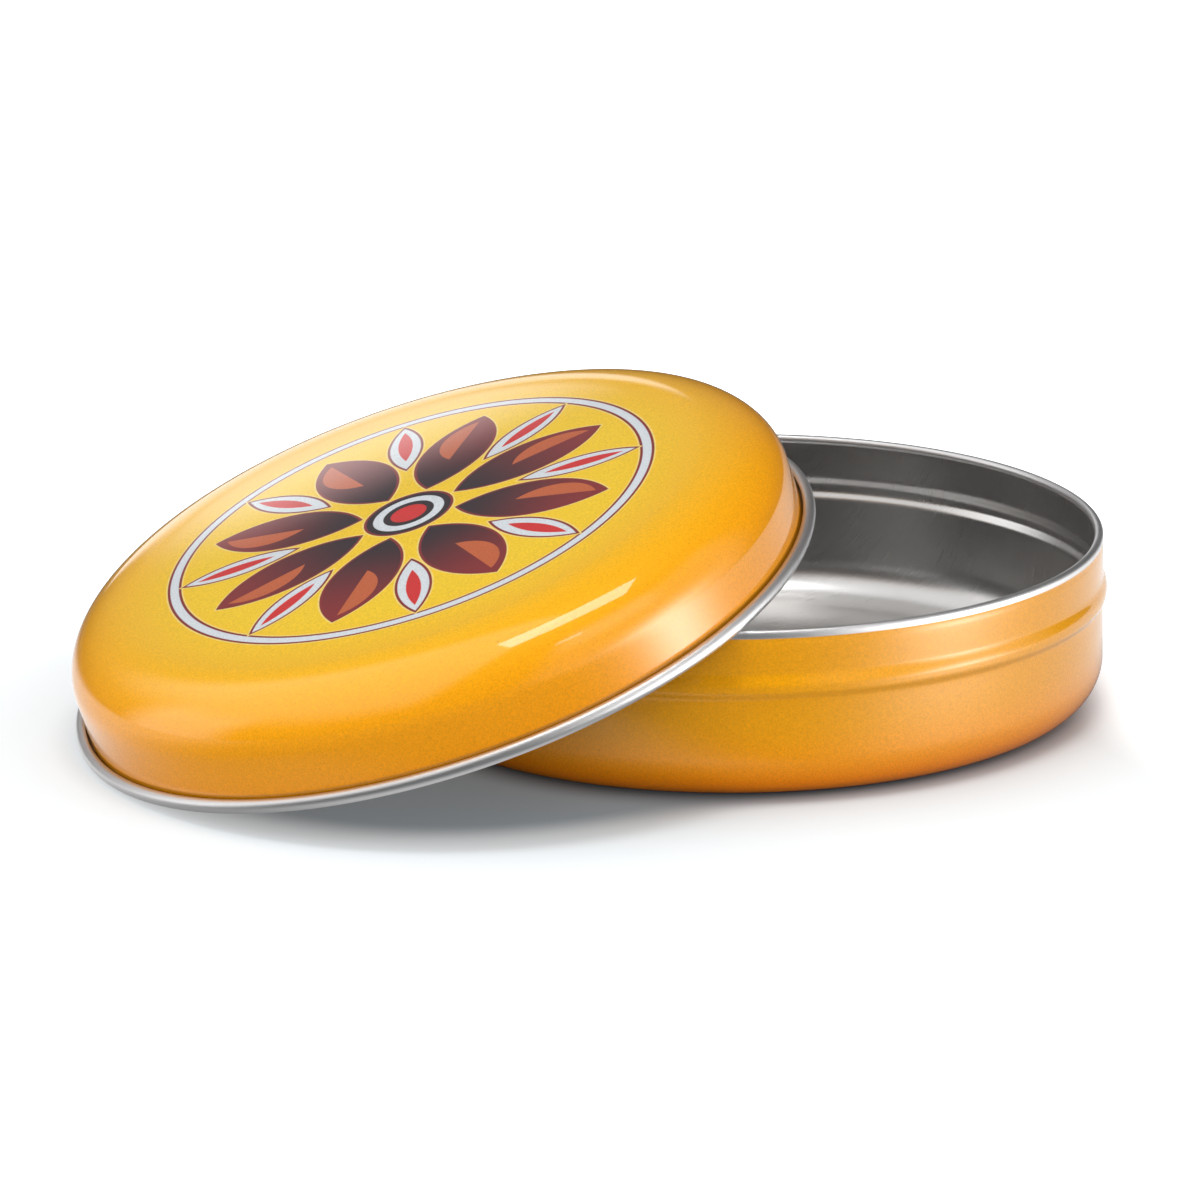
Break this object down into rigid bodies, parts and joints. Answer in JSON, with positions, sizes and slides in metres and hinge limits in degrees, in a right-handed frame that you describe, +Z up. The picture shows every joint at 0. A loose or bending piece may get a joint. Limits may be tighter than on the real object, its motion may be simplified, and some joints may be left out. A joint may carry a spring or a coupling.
{
  "type": "round slip-lid tin",
  "caption": "Round drawn tinplate tin for keepsakes or biscuits, with a stop bead, curled rim and domed slip lid leaning on the open pan.",
  "frame": {"origin": "centre of the pan's flat underside, on the surface it stands on", "axes": "+Z up along the pan's axis, -X towards the side where the lid leans, +Y across the lean"},
  "size_m": [0.262, 0.19, 0.0802],
  "materials": {
    "orange_print": "orange metallic print under clear varnish outside, bare tinplate inside and on the curled rim",
    "yellow_print": "yellow metallic print fading to orange at the skirt, under clear varnish, bare tinplate inside and on the curl"
  },
  "bodies": {
    "base": {"base_pan": "orange_print"},
    "lid": {"lid": "yellow_print"}
  },
  "joints": [
    {"name": "lid_lift", "type": "slide", "parent": "base", "child": "lid", "axis": [0, 0, 1], "range_m": [0, 0.06]}
  ]
}
